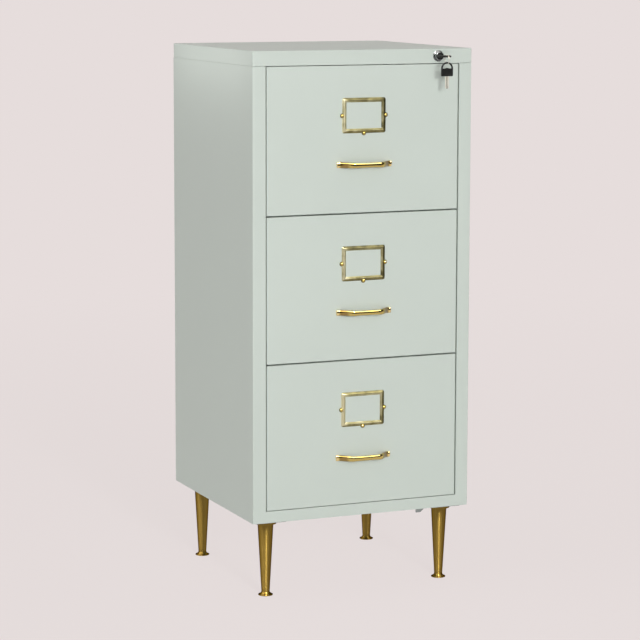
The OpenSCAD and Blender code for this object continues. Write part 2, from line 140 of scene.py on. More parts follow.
def finish(name):
    """An empty material: its tree, and a Principled shader that is already wired to the output."""
    material = bpy.data.materials.new(name)
    material.use_nodes = True
    tree = material.node_tree
    tree.nodes.clear()
    shader = add(tree, "BsdfPrincipled")
    add(tree, "OutputMaterial", inputs={"Surface": shader.outputs[0]})
    return material, tree, shader


def grain(tree, size_mm, detail=2.0):
    """Cloudy noise between 0 and 1. size_mm is how long one cloud is along x, y and z. One cloud of the
    noise is about half a unit long, so 500 units go to a metre when it is to be 1 mm."""
    place = add(tree, "TexCoord").outputs["Object"]
    scaled = add(tree, "Mapping", inputs={"Vector": place, "Scale": [500 / s for s in size_mm]})
    return add(tree, "TexNoise", inputs={"Vector": scaled, "Scale": 1.0, "Detail": detail})


# A Mix node set to colours has its factor at socket 0, its two colours at 6 and 7, its result at 2.
BLEND = {"data_type": "RGBA"}
# A MapRange node has the value at socket 0, where it starts and ends at 1 and 2, and what these become
# at 3 and 4. SMOOTH eases both ends.
SMOOTH = {"interpolation_type": "SMOOTHSTEP"}
print("white is", tone("#FFFFFF"), "and mid grey is", round(tone("#808080")[0], 3))

# %% [markdown]
# ## A soft studio
#
# Painted steel is judged by its colour, so the light is plain. A pale surround reaches every face. It
# is dimmer above and to the right, so that the faces differ in tone, and dimmest in front, where the
# lamps take over. Together they add up to about 1 on the front, where a colour renders about as it is
# written. One lamp alone would do for the front, but it would leave the side in the dark.

# %% Surround
BACKGROUND = "#E6DDDC"
world = bpy.data.worlds.new("studio_air")
world.use_nodes = True
scene.world = world
tree = world.node_tree
tree.nodes.clear()
path = add(tree, "LightPath").outputs
way = add(tree, "SeparateXYZ", inputs={0: add(tree, "TexCoord").outputs["Generated"]}).outputs
overhead = add(tree, "MapRange", SMOOTH, {0: way["Z"], 1: 0.0, 2: 1.0, 3: 0.92, 4: 0.40})
sideways = add(tree, "MapRange", SMOOTH, {0: way["X"], 1: -0.8, 2: 1.0, 3: 1.25, 4: 0.72})
frontal = add(tree, "MapRange", inputs={0: way["Y"], 1: -1.0, 2: 0.0, 3: 0.30, 4: 1.0})
soft = add(tree, "Math", {"operation": "MULTIPLY"}, {0: overhead, 1: sideways})
soft = add(tree, "Math", {"operation": "MULTIPLY"}, {0: soft, 1: frontal})
even = add(tree, "Background", inputs={"Color": tone("#FFFFFF"), "Strength": soft})
print("background", BACKGROUND, "surround nodes", len(tree.nodes))

# %% [markdown]
# Polished brass shows what stands round it, and in an even white room it would look like yellow paint.
# So metal sees a surround of its own. Behind the cabinet that is the pale background. In front it is a
# dim room with a bright wall far to the left and one bright band high up, which ends to the right. The
# band gives each pull its pale upper line, and the dim room below it the dark middle.

# %% What polished metal sees
wall = add(tree, "MapRange", SMOOTH, {0: way["X"], 1: -0.97, 2: -0.80, 3: 0.75, 4: 0.08})
band = add(tree, "MapRange", SMOOTH, {0: way["Z"], 1: 0.38, 2: 0.46, 3: 0.0, 4: 6.0})
band_top = add(tree, "MapRange", SMOOTH, {0: way["Z"], 1: 0.70, 2: 0.88, 3: 1.0, 4: 0.12})
band_end = add(tree, "MapRange", SMOOTH, {0: way["X"], 1: 0.42, 2: 0.60, 3: 1.0, 4: 0.0})
band = add(tree, "Math", {"operation": "MULTIPLY"}, {0: band, 1: band_end})
band = add(tree, "Math", {"operation": "MULTIPLY"}, {0: band, 1: band_top})
room = add(tree, "Math", {"operation": "MAXIMUM"}, {0: wall, 1: band})
front = add(tree, "Background", inputs={"Color": tone("#FFF8F0"), "Strength": room})
pale = add(tree, "Background", inputs={"Color": tone(BACKGROUND), "Strength": 1.0})
behind = add(tree, "MapRange", SMOOTH, {0: way["Y"], 1: 0.15, 2: 0.45, 3: 0.0, 4: 1.0})
around = add(tree, "MixShader", inputs={0: behind, 1: front, 2: pale})
mirrored = add(tree, "Math", {"operation": "MAXIMUM"},
               {0: path["Is Glossy Ray"], 1: path["Is Transmission Ray"]})
unseen = add(tree, "MixShader", inputs={0: mirrored, 1: even, 2: around})
mixed = add(tree, "MixShader", inputs={0: path["Is Camera Ray"], 1: unseen, 2: pale})
add(tree, "OutputWorld", inputs={"Surface": mixed})
print("world nodes", len(tree.nodes))

# %% [markdown]
# A softbox is a rectangular lamp. The key lamp stands nearly straight in front, a little to the left
# and a little high, and draws the soft shadow of the hanging key. A tall box further to the left fills
# that shadow, and a thin tube beside the top left edge lets the upper part of the side fade into shade.
# All three would burn white holes into polished brass, so their mirror images are switched off. The
# fourth is the other way round: a narrow strip high up that only metal sees, and that draws the upright
# line of light on the legs.

# %% Lamps
def softbox(name, azimuth, elevation, distance, size, level, aim=(0.0, -0.19, 0.7), mirror=False,
            paint=True):
    """A rectangular lamp on a sphere round aim. azimuth is degrees from straight in front towards the
    right, size is width and height in metres. Power is level * pi^2 * distance^2, which gives a surface
    facing it that share of full light. mirror and paint say which surfaces it shows on."""
    a, e = math.radians(azimuth), math.radians(elevation)
    away = np.array([math.sin(a) * math.cos(e), -math.cos(a) * math.cos(e), math.sin(e)])
    data = bpy.data.lights.new(name, "AREA")
    data.shape, data.size, data.size_y = "RECTANGLE", size[0], size[1]
    data.energy = level * math.pi ** 2 * distance ** 2
    lamp = bpy.data.objects.new(name, data)
    side = np.cross((0, 0, 1), away)
    side /= np.linalg.norm(side)
    m = np.eye(4)
    m[:3, 0], m[:3, 1], m[:3, 2] = side, np.cross(away, side), away
    m[:3, 3] = np.array(aim) + away * distance
    lamp.matrix_world = Matrix(m.tolist())
    lamp.visible_glossy = mirror
    lamp.visible_diffuse = paint
    lamp.visible_camera = False
    scene.collection.objects.link(lamp)
    print(name, "at", np.round(m[:3, 3], 2), "power", round(data.energy, 1), "W")


softbox("key_softbox", -5, 12, 6.0, (0.6, 0.6), 0.29)
softbox("side_softbox", -12, 4, 3.0, (0.35, 1.6), 0.28)
softbox("strip_softbox", -11, 32, 3.0, (0.06, 1.0), 1.4, mirror=True, paint=False)
softbox("edge_softbox", -90, 0, 0.1, (0.43, 0.02), 0.8, aim=(-0.225, 0.02, 1.03))

# %% [markdown]
# ## The floor
#
# A paper roll runs under the cabinet and far behind it, so that no corner shows. The camera sees the
# roll in its own pale colour, and near the cabinet part of what it sees is real light and shade, which
# keeps the soft shadow that holds the legs to the ground. Other rays meet plain matt paper, which
# throws its warm light up at the lowest rail. A roll has a front edge, here a few steps before the
# cabinet. Brass that faces a little down mirrors the paper, and brass that faces straight ahead looks
# past that edge into the dim room.

# %% Floor
def disc(radius_mm, front_mm, rings, spokes):
    """Point (i, j) is at radius R * (i / rings)^3 and angle 2 pi j / spokes, at height 0, but no nearer
    to the viewer than the paper's straight front edge."""
    r = radius_mm * (np.arange(1, rings + 1)[:, None] / rings) ** 3
    a = np.linspace(0, 2 * math.pi, spokes, endpoint=False)[None]
    return np.stack([r * np.cos(a), np.maximum(r * np.sin(a), -front_mm), np.zeros((rings, spokes))], -1)


PAPER_RADIUS_MM, PAPER_FRONT_MM = 120000, 3200
paper, tree, shader = finish("matt_background_paper")
path = add(tree, "LightPath").outputs
seen = add(tree, "Math", {"operation": "MAXIMUM"}, {0: path["Is Camera Ray"], 1: path["Is Glossy Ray"]})
seen = add(tree, "Math", {"operation": "MAXIMUM"}, {0: seen, 1: path["Is Transmission Ray"]})
away = add(tree, "VectorMath", {"operation": "LENGTH"}, {0: add(tree, "TexCoord").outputs["Object"]})
plain = add(tree, "MapRange", inputs={0: away.outputs["Value"], 1: 0.5, 2: 4.0, 3: 0.91, 4: 1.0})
share = add(tree, "Math", {"operation": "MULTIPLY"}, {0: seen, 1: plain})
fibres = add(tree, "Bump", inputs={"Height": grain(tree, (2, 2, 2)), "Strength": 1.0, "Distance": 0.00002})
matt = add(tree, "BsdfDiffuse", inputs={"Color": tone("#EFEDEC"), "Roughness": 0.5, "Normal": fibres})
glow = add(tree, "Emission", inputs={"Color": tone(BACKGROUND), "Strength": 1.0})
mixed = add(tree, "MixShader", inputs={0: share, 1: matt, 2: glow})
plug(tree, next(n for n in tree.nodes if n.type == "OUTPUT_MATERIAL"), {"Surface": mixed})
tree.nodes.remove(shader)
print("floor paper nodes", len(tree.nodes))

# %% [markdown]
# ## From a grid of points to a mesh
#
# Each new piece is a surface: a formula gives a point for every pair (u, v), numpy works the whole
# grid out at once, and the grid becomes four-sided faces. A grid may close on itself in either
# direction, as a ring or a tube does, and an open end is closed with one flat face.

# %% Surface helpers
def grid_faces(rows, columns, loop_u, loop_v, cap_start, cap_end):
    """Faces of a grid: square (i, j) joins rows i and i + 1 and columns j and j + 1."""
    index = np.arange(rows * columns).reshape(rows, columns)
    i, j = np.arange(rows if loop_u else rows - 1)[:, None], np.arange(columns if loop_v else columns - 1)
    i2, j2 = (i + 1) % rows, (j + 1) % columns
    faces = np.stack([index[i, j], index[i2, j], index[i2, j2], index[i, j2]], -1).reshape(-1, 4).tolist()
    faces += [index[0].tolist()] if cap_start else []
    faces += [index[-1][::-1].tolist()] if cap_end else []
    return faces


def skin(name, shells, material, sharp=35):
    """One object from several grids. Each shell is (points in mm, loop_u, loop_v, cap_start, cap_end).
    Six times its volume is the sum of a . (b x c) over its triangles; where that comes out negative,
    the shell is turned the right way round. Edges that bend by more than sharp degrees stay crisp."""
    points, faces = [], []
    for p, loop_u, loop_v, start, end in shells:
        p = np.asarray(p, float)
        f = grid_faces(p.shape[0], p.shape[1], loop_u, loop_v, start, end)
        flat = p.reshape(-1, 3)
        quad = np.array([q for q in f if len(q) == 4])
        middle = flat - flat.mean(0)
        a, b, c, d = (middle[quad[:, k]] for k in range(4))
        volume = (np.einsum("ij,ij->i", a, np.cross(b, c)) + np.einsum("ij,ij->i", a, np.cross(c, d))).sum()
        if volume < 0:
            f = [q[::-1] for q in f]
        offset = sum(len(q) for q in points)
        faces += [[k + offset for k in q] for q in f]
        points.append(flat)
    mesh = bpy.data.meshes.new(name)
    mesh.from_pydata(np.concatenate(points) / 1000, [], faces)
    mesh.polygons.foreach_set("use_smooth", np.ones(len(faces), bool))
    mesh.set_sharp_from_angle(angle=math.radians(sharp))
    mesh.materials.append(material)
    piece = bpy.data.objects.new(name, mesh)
    scene.collection.objects.link(piece)
    return piece


def turned(profile, centre, spokes=48, axis="z"):
    """Turning on a lathe: profile point (r, h) goes round at angle a to r cos a, r sin a, h. With axis
    y, the height runs towards the viewer, along -Y."""
    profile = np.asarray(profile, float)
    a = np.linspace(0, 2 * math.pi, spokes, endpoint=False)[None]
    r, h = profile[:, :1], profile[:, 1:] + 0 * a
    x, y = r * np.cos(a), r * np.sin(a)
    p = np.stack([x, y, h], -1) if axis == "z" else np.stack([x, -h, y], -1)
    return p + np.asarray(centre, float)


def mm(node):
    """Lowest corner, highest corner and middle of a ready-made part, in millimetres."""
    low, high = (np.array(v) * 1000 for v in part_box(node))
    return low, high, (low + high) / 2


paper_points = disc(PAPER_RADIUS_MM, PAPER_FRONT_MM, 40, 96)
floor = skin("paper_floor", [(paper_points, False, True, True, False)], paper)
floor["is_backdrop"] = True
print("floor faces", len(floor.data.polygons))

# %% [markdown]
# ## Powder coat
#
# The sheets are coated with polyester powder, which is sprayed on dry, clings by static charge and is
# baked until it flows out. It flows into a satin skin with a faint orange peel: ripples some two
# millimetres apart and a few thousandths high. The peel is too fine to show from this distance, so it
# is drawn at twice its size. The gloss also drifts a little over a hand's width, as sprayed film does.
# Polyester bends light by about 1.5, and its satin kinds have a roughness of 0.4 to 0.6.

# %% Paints
def powder_coat(name, light, dark, gloss_low, gloss_high):
    """Satin paint: colour and roughness drift over about 150 mm, and ripples 4 mm apart break the shine."""
    material, tree, shader = finish(name)
    drift = grain(tree, (150, 150, 150))
    colour = add(tree, "Mix", BLEND, {0: drift, 6: tone(dark), 7: tone(light)})
    gloss = add(tree, "MapRange", inputs={0: drift, 1: 0.35, 2: 0.65, 3: gloss_low, 4: gloss_high})
    peel = add(tree, "Bump", inputs={"Height": grain(tree, (4, 4, 4)), "Strength": 1.0,
                                     "Distance": 0.000012})
    plug(tree, shader, {"Base Color": colour.outputs[2], "Roughness": gloss, "Normal": peel, "IOR": 1.5})
    return material


sage = powder_coat("powder_coat_sage_satin", "#CCD5CD", "#C8D1C9", 0.42, 0.48)
inner = powder_coat("powder_coat_sage_thin_inside", "#C4CCC4", "#BEC6BF", 0.50, 0.58)
grey = powder_coat("dip_primer_grey", "#8F9391", "#858987", 0.55, 0.65)
print("paints", [m.name for m in (sage, inner, grey)])

# %% [markdown]
# ## Plated steel
#
# Slides, lock bar and screws are bright zinc plate: bluish white, a little cloudy, and drawn along the
# length of the strip by the rollers. The ring is nickel plate, tumbled until it is smooth, and the
# lock's face is black nickel, nearly as smooth as chrome but dark. The drawn lines and tumbling marks
# are really finer than a tenth of a millimetre and are drawn several times as coarse, so that they show.

# %% A metal with clouds and lines
def plating(name, light, dark, clouds_mm, rough_low, rough_high, lines_mm=(3, 3, 3), depth_mm=0.002):
    """Metal whose tint and roughness follow soft clouds, with drawn lines or pores of the given size."""
    material, tree, shader = finish(name)
    clouds = grain(tree, clouds_mm, 3.0)
    colour = add(tree, "Mix", BLEND, {0: clouds, 6: tone(dark), 7: tone(light)})
    rough = add(tree, "MapRange", inputs={0: clouds, 1: 0.35, 2: 0.65, 3: rough_low, 4: rough_high})
    lines = add(tree, "Bump", inputs={"Height": grain(tree, lines_mm), "Strength": 1.0,
                                      "Distance": depth_mm / 1000})
    plug(tree, shader, {"Base Color": colour.outputs[2], "Roughness": rough, "Metallic": 1.0,
                        "Normal": lines})
    return material, tree, shader


zinc = plating("zinc_plate_bright_rolled", "#CED2D6", "#AEB3B8", (9, 30, 9), 0.30, 0.42,
               (0.6, 40, 0.6), 0.004)[0]
nickel = plating("nickel_plate_tumbled", "#E8E6DC", "#D2D0C6", (6, 6, 6), 0.30, 0.38,
                 (1.2, 1.2, 1.2), 0.003)[0]
black_nickel = plating("black_nickel_plate", "#94989A", "#7C8082", (5, 5, 5), 0.10, 0.16)[0]
print("platings", [m.name for m in (zinc, nickel, black_nickel)])

# %% [markdown]
# The blades of the keys are milled from nickel silver, warmer and less shiny than plate. The groove along
# each blade is painted darker, a painted shade. A dark stripe could be painted by its place, but the two
# blades lie in different directions, so each point of a blade keeps whether it is in the groove.

# %% Blades with painted shade in the groove
milled, tree, shader = plating("nickel_silver_milled", "#DCDAD0", "#CAC8BC", (6, 6, 6), 0.46, 0.54)
groove = add(tree, "Attribute", {"attribute_name": "groove"}).outputs["Fac"]
bright = shader.inputs["Base Color"].links[0].from_socket
# The groove is painted dark, a painted shade.
tint = add(tree, "Mix", BLEND, {0: groove, 6: bright, 7: tone("#4A4A40")})
plug(tree, shader, {"Base Color": tint.outputs[2]})
print("milled metal nodes", len(tree.nodes))

# %% [markdown]
# ## Brass in three conditions
#
# The pulls and the label pins are polished and lacquered, bright and yellow. The lacquer is a clear coat
# over the metal, so it adds a white glint to the yellow one. Lacquer bends light by about 1.5; it is set to
# 1.7, at which the glint is as white as on the real pulls. The bends of a pull are painted dark brown, a
# painted dark reflection, and its feet pale, a painted highlight. Every point of a pull keeps its share of
# this painted reflection: about 1 in the bends, -1 on the feet, and 0 elsewhere, as on parts that keep no
# such value.

# %% Polished brass
polished, tree, shader = finish("brass_polished_lacquered")
# The attribute read here is a painted reflection: about 1 in the bends, a painted dark reflection, and -1
# on the feet, a painted highlight.
painted_reflection = add(tree, "Attribute", {"attribute_name": "painted_reflection"}).outputs["Fac"]
clouds = grain(tree, (20, 20, 20), 3.0)
fresh = add(tree, "Mix", BLEND, {0: clouds, 6: tone("#C2AC54"), 7: tone("#CEB860")})
dark_reflection_share = add(tree, "MapRange", inputs={0: painted_reflection, 1: 0.0, 2: 1.0, 3: 0.0, 4: 1.0})
with_dark_reflection = add(tree, "Mix", BLEND, {0: dark_reflection_share, 6: fresh.outputs[2], 7: tone("#96781E")})
highlight_share = add(tree, "MapRange", inputs={0: painted_reflection, 1: 0.0, 2: -1.0, 3: 0.0, 4: 1.0})
colour = add(tree, "Mix", BLEND, {0: highlight_share, 6: with_dark_reflection.outputs[2], 7: tone("#EFD894")})
rough = add(tree, "MapRange", inputs={0: clouds, 1: 0.35, 2: 0.65, 3: 0.10, 4: 0.16})
wheel = add(tree, "Bump", inputs={"Height": grain(tree, (3, 3, 3)), "Strength": 1.0,
                                  "Distance": 0.000002})
plug(tree, shader, {"Base Color": colour.outputs[2], "Roughness": rough, "Normal": wheel,
                    "Metallic": 1.0, "Coat Weight": 1.0, "Coat Roughness": 0.05, "Coat IOR": 1.7,
                    "Specular Tint": tone("#B89C50")})
print("polished brass nodes", len(tree.nodes))

# %% [markdown]
# The legs and feet are spun on a lathe and lacquered darker. The fine rings that the tool leaves throw
# light up and down but hardly sideways, so a lamp shows as one upright line. The shader calls that
# anisotropic, and takes the upright direction from a map that each turned piece carries. A metal at a
# glancing angle usually turns white; here the specular tint paints these edges dark brown, a painted dark
# reflection. The rings are drawn 0.8 mm apart, some four times as coarse as a tool leaves them.

# %% Spun brass
spun, tree, shader = plating("brass_spun_satin", "#988040", "#8A7234", (60, 60, 12), 0.32, 0.36,
                             (60, 60, 0.8))
along = add(tree, "Tangent", {"direction_type": "UV_MAP", "uv_map": "lathe"})
# The dark specular tint is a painted dark reflection at glancing edges.
plug(tree, shader, {"Anisotropic": 1.0, "Tangent": along, "Specular Tint": tone("#4A3408")})
print("spun brass nodes", len(tree.nodes))

# %% [markdown]
# The label frames are pressed from strip and aged in a bath, which turns brass a greenish brown, and then
# polished back. Each point of a frame keeps a share that is partly wear and partly painted light and shade,
# and small clouds break that up.

# %% Aged brass
aged, tree, shader = finish("brass_aged_worn_and_painted_light")
# The share read here is partly wear and partly painted light and shade: rims lighter or darker by side, the
# lower inner slope darker.
wear_and_painted_light = add(tree, "Attribute", {"attribute_name": "wear_and_painted_light"}).outputs["Fac"]
patches = add(tree, "MapRange", inputs={0: grain(tree, (7, 7, 7), 3.0), 1: 0.3, 2: 0.7, 3: -0.16, 4: 0.16})
wear_and_light_share = add(tree, "Math", {"operation": "ADD"}, {0: wear_and_painted_light, 1: patches})
colour = add(tree, "ValToRGB", inputs={"Fac": wear_and_light_share})
for place, shade in ((0.10, "#4A4832"), (0.5, "#8E8960"), (0.90, "#D2CDA8")):
    stop = colour.color_ramp.elements.new(place)
    stop.color = tone(shade)
for stop in (colour.color_ramp.elements[-1], colour.color_ramp.elements[0]):
    colour.color_ramp.elements.remove(stop)
rough = add(tree, "MapRange", inputs={0: wear_and_light_share, 1: 0.1, 2: 0.9, 3: 0.30, 4: 0.40})
pits = add(tree, "Bump", inputs={"Height": grain(tree, (2, 2, 2), 4.0), "Strength": 1.0,
                                 "Distance": 0.000012})
plug(tree, shader, {"Base Color": colour, "Roughness": rough, "Normal": pits, "Metallic": 1.0,
                    "Specular Tint": tone("#8A8250")})
print("aged brass nodes", len(tree.nodes))

# %% [markdown]
# ## Moulded plastic
#
# Both key heads are black ABS with the fine spark texture of their mould, which scatters the light a
# little and leaves no clear reflection. Its specks are drawn 0.9 mm wide, about four times their size.

# %% Black plastic
black, tree, shader = finish("abs_black_moulded")
speck = grain(tree, (0.9, 0.9, 0.9), 3.0)
colour = add(tree, "Mix", BLEND, {0: speck, 6: tone("#0C0D0C"), 7: tone("#161716")})
rough = add(tree, "MapRange", inputs={0: speck, 1: 0.35, 2: 0.65, 3: 0.38, 4: 0.52})
sparks = add(tree, "Bump", inputs={"Height": speck, "Strength": 1.0, "Distance": 0.00003})
plug(tree, shader, {"Base Color": colour.outputs[2], "Roughness": rough, "Normal": sparks, "IOR": 1.54,
                    "Specular IOR Level": 0.2})
print("plastic", black.name)

# %% [markdown]
# ## Dressing the ready-made parts
#
# Every solid part names the slot its finish comes from, so one table from slot to material dresses
# them all. Pieces that get a finer surface further down replace their part.

# %% Put the finishes on
finishes = {"sage_paint": sage, "inner_paint": inner, "grey_paint": grey, "zinc": zinc, "nickel": nickel,
            "dark_chrome": black_nickel, "gold_plate": polished, "gold_satin": spun,
            "aged_brass": aged, "black_plastic": black}
slot_of = {part["node"]: part["material_slot"] for part in frame["record"]["subparts"]}
for name, part in nodes.items():
    for slot in part.material_slots:
        slot.material = finishes[slot_of[name]]
print("dressed", len(nodes), "parts in", len(set(slot_of.values())), "finishes")


def stand_for(piece, body, *replaced):
    """The piece rides on body and hides the parts that it stands for."""
    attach(piece, body)
    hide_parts(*replaced)
    print(piece.name, "on", body, "faces", len(piece.data.polygons))


# %% [markdown]
# ## Bow pulls
#
# Each drawer has a bow pull, cast and polished in one piece. It could be a straight bar with two
# posts, but the real one flows: a flat foot, an arm that rises in an S, and a straight grip that is
# lower than the feet are. So a rounded section is carried along the bow, square to its path.

# %% Soft steps and rounded sections
def ease(t):
    """Smooth step: 3 t^2 - 2 t^3 between 0 and 1."""
    t = np.clip(t, 0, 1)
    return t * t * (3 - 2 * t)


def oval(power, count):
    """Outline of a rounded square one unit wide: x = 1/2 sgn(cos a) |cos a|^(2/p), y from sin a."""
    a = np.linspace(0, 2 * math.pi, count, endpoint=False)
    return np.stack([np.sign(f) * np.abs(f) ** (2 / power) / 2 for f in (np.cos(a), np.sin(a))], -1)


print("half way up a soft step", ease(0.5), "section points", oval(2.2, 36).shape)

# %% [markdown]
# Seen from above, the bow is one smooth line, flat on the feet and on the grip. The section follows that
# line and is squeezed to a soft edge at both ends. The bends are where the line is steepest.

# %% Pull surface
def bow_pull(low, high, thick=5.5, mid_tall=9.4, foot_tall=11.0, edge=1.1, arm=52.5, run=27.0):
    """Point (i, j): the middle line is y = -(thick/2 + (reach - thick) ease((arm - |x|) / run)), square to
    which stands a rounded section. Its height eases from mid_tall to foot_tall, and over the last edge
    millimetres the section shrinks along a quarter circle, so the end faces have soft edges. The second
    result is each point's share of painted reflection: 1, a painted dark reflection, from 39 to 47 mm off
    the middle, and -1, a painted highlight, from 53 mm."""
    reach, half = high[1] - low[1], (high[0] - low[0]) / 2
    tip = edge * (1 - np.cos(np.linspace(0, math.pi / 2, 6)))
    x = np.concatenate([-half + tip[:-1], np.linspace(-half + edge, half - edge, 121), half - tip[-2::-1]])
    y = -(thick / 2 + (reach - thick) * ease((arm - np.abs(x)) / run))
    tangent = np.stack([np.gradient(x), np.gradient(y)], -1)
    tangent /= np.linalg.norm(tangent, axis=1)[:, None]
    over = np.clip((np.abs(x) - (half - edge)) / edge, 0, 1)
    shrink = 2 * edge * (1 - np.sqrt(1 - over ** 2))
    tall = mid_tall + (foot_tall - mid_tall) * ease((np.abs(x) - 12) / 28)
    section = oval(2.2, 36)
    out = section[None, :, 0] * (thick - shrink)[:, None]
    rise = section[None, :, 1] * (tall - shrink)[:, None]
    p = np.stack([x[:, None] + out * tangent[:, 1:], y[:, None] - out * tangent[:, :1], rise], -1)
    # Share of painted reflection: dark in the bends, a painted highlight on the feet.
    painted_reflection = ease((np.abs(x) - 33) / 6) * ease((50 - np.abs(x)) / 3) - ease((np.abs(x) - 50) / 3)
    return (p + [(low[0] + high[0]) / 2, high[1], (low[2] + high[2]) / 2],
            np.broadcast_to(painted_reflection[:, None], p.shape[:2]))


print("a pull is", np.round(mm("pull_1")[1] - mm("pull_1")[0], 1), "mm")

# %% [markdown]
# The finishing table above gives a part one finish all over. Where a finish differs from point to point, by
# wear or by painted light and shade, the point keeps a number, and the finish reads it by its name.

# %% Make the pulls
def keep(piece, name, *values):
    """Stores one number per point as a mesh attribute, which a finish then reads by its name."""
    numbers = np.concatenate([v.ravel() for v in values]).astype(np.float32)
    piece.data.attributes.new(name, "FLOAT", "POINT").data.foreach_set("value", numbers)


for n in (1, 2, 3):
    low, high, _ = mm(f"pull_{n}")
    pull_points, painted_reflection = bow_pull(low, high)
    pull = skin(f"bow_pull_{n}", [(pull_points, False, True, True, True)], polished)
    keep(pull, "painted_reflection", painted_reflection)
    stand_for(pull, f"drawer_{n}", f"pull_{n}")

# %% [markdown]
# ## Label frames
#
# The frame that holds a drawer's card is pressed from strip: a rim that rises to a narrow ridge and
# falls again towards the card, rounded at the outer corners, with three small ears for the pins. A
# plain mitred frame would have knife edges, so here one soft profile is carried round a rounded
# rectangle.

# %% Outline and profile of a label frame
def rim_loop(wide, tall, inset, corner, arc=9, side=7):
    """Rounded rectangle, inset from its outline: each corner is an arc whose radius is the corner less
    the inset, but at least 0.7, and each side has evenly spaced points."""
    a, b, r = wide / 2 - inset, tall / 2 - inset, max(corner - inset, 0.7)
    turns = np.arange(4)[:, None] * math.pi / 2 + np.linspace(0, math.pi / 2, arc)[None]
    middle = np.array([[1, 1], [-1, 1], [-1, -1], [1, -1]]) * [a - r, b - r]
    arcs = middle[:, None] + r * np.stack([np.cos(turns), np.sin(turns)], -1)
    share = np.linspace(0, 1, side + 2)[1:-1][None, :, None]
    sides = arcs[:, -1:] * (1 - share) + np.roll(arcs, -1, 0)[:, :1] * share
    return np.concatenate([arcs, sides], 1).reshape(-1, 2)


def frame_profile(rim, depth, lip=0.85):
    """Inset and height: a small lip, an outer slope that eases up to the ridge, a shorter inner slope."""
    rise = np.linspace(0, 1, 8)
    outer = np.stack([0.3 + 3.9 * rise, lip + (depth - lip) * ease(rise)], -1)
    inner = np.stack([rim - 3.0 + 2.7 * rise, depth - (depth - lip) * ease(rise)], -1)
    return np.concatenate([[[0, 0], [0, 0.6], [0.1, 0.8]], outer, [[rim - 3.6, depth]], inner,
                           [[rim - 0.05, 0.7], [rim, 0.4], [rim, 0]]])


print("outline points", rim_loop(89, 66.5, 0, 4).shape, "profile points", frame_profile(8.4, 3.0).shape)

# %% [markdown]
# Fingers and cards wear some of the dark ageing off the ridge. The inner slopes are paler, but the lower
# inner slope is painted darker, a painted shade. The left and lower rims are painted lighter than the other
# two, painted light and shade by side, and the lowest frame is lighter than the two above it. Every point
# keeps its share.

# %% Label frame surface
# Rims are painted lighter or darker by side, a painted light and shade; the ear and ridge values are wear.
SIDE_LIGHT_AND_WEAR = {"left": 0.72, "right": 0.10, "lower": 0.32, "upper": 0.14, "ear": 0.25, "ridge": 0.15}
INNER_SLOPE_TONE, SLOPE_SHARE, LOWER_SLOPE_SHARE = 0.85, 0.55, 0.15


def label_frame(middle, back, wide, tall, rim=8.4, depth=3.0, corner=4.0):
    """Point (i, j): place i of the rounded rectangle, inset and raised by point j of the profile. Also
    returns each point's share of wear and painted light and shade. The share depends on the point's side,
    which is painted light and shade, on its height, which is wear, and on whether it lies on an inner
    slope, the lower one painted darker."""
    profile = frame_profile(rim, depth)
    loops = np.stack([rim_loop(wide, tall, inset, corner) for inset in profile[:, 0]], 1)
    out = np.broadcast_to(profile[None, :, 1], loops.shape[:2])
    x, z = loops[..., 0] / (wide / 2), loops[..., 1] / (tall / 2)
    side = np.where(np.abs(x) > np.abs(z), np.where(x < 0, SIDE_LIGHT_AND_WEAR["left"], SIDE_LIGHT_AND_WEAR["right"]),
                    np.where(z < 0, SIDE_LIGHT_AND_WEAR["lower"], SIDE_LIGHT_AND_WEAR["upper"]))
    inner = ease((np.broadcast_to(profile[None, :, 0], side.shape) - rim * 0.5) / 2)
    # The lower inner slope is painted darker, a painted shade.
    slope = np.where(z < -0.5, LOWER_SLOPE_SHARE, SLOPE_SHARE)
    wear_and_painted_light = side + SIDE_LIGHT_AND_WEAR["ridge"] * ease(out / depth) + (INNER_SLOPE_TONE - side) * slope * inner
    return np.stack([loops[..., 0] + middle[0], back - out, loops[..., 1] + middle[2]], -1), wear_and_painted_light


LABEL_WIDE, LABEL_TALL, EAR = 89.0, 66.5, 4.5
# The lowest frame is made lighter than the two above it.
LOWEST_FRAME_LIGHTER = {1: 0.0, 2: 0.0, 3: 0.12}
ear_profile = [(1.5, 0), (EAR, 0), (EAR, 0.9), (EAR - 0.2, 1.2), (1.5, 1.3)]
for n in (1, 2, 3):
    _, high, middle = mm(f"label_holder_{n}")
    middle = np.array([middle[0], 0, high[2] - LABEL_TALL / 2])
    frame_points, wear_and_painted_light = label_frame(middle, high[1], LABEL_WIDE, LABEL_TALL)
    ears = [(turned(ear_profile, middle + [x, high[1], z], 32, "y"), False, True, True, True)
            for x, z in ((-LABEL_WIDE / 2, 0), (LABEL_WIDE / 2, 0), (0, -LABEL_TALL / 2))]
    holder = skin(f"label_frame_{n}", [(frame_points, True, True, False, False)] + ears, aged, 50)
    ears_wear = [np.full(ear[0].shape[:2], SIDE_LIGHT_AND_WEAR["ear"]) for ear in ears]
    keep(holder, "wear_and_painted_light", wear_and_painted_light + LOWEST_FRAME_LIGHTER[n], *ears_wear)
    stand_for(holder, f"drawer_{n}", f"label_holder_{n}")

# %% [markdown]
# ## Legs and levelling feet
#
# The legs are spun brass tubes that taper towards the floor, with a flange under the cabinet. Inside
# each is a nut for the threaded stem of a flat foot, which is screwed down until the cabinet stands
# level. Both are lathe work, so a profile is turned round the leg's axis.

# %% Profile of a leg
FOOT_TALL, LEG_LOW, LEG_TOP, FLANGE = 8.0, 8.0, 15.5, 21.0  # a height, then three radii


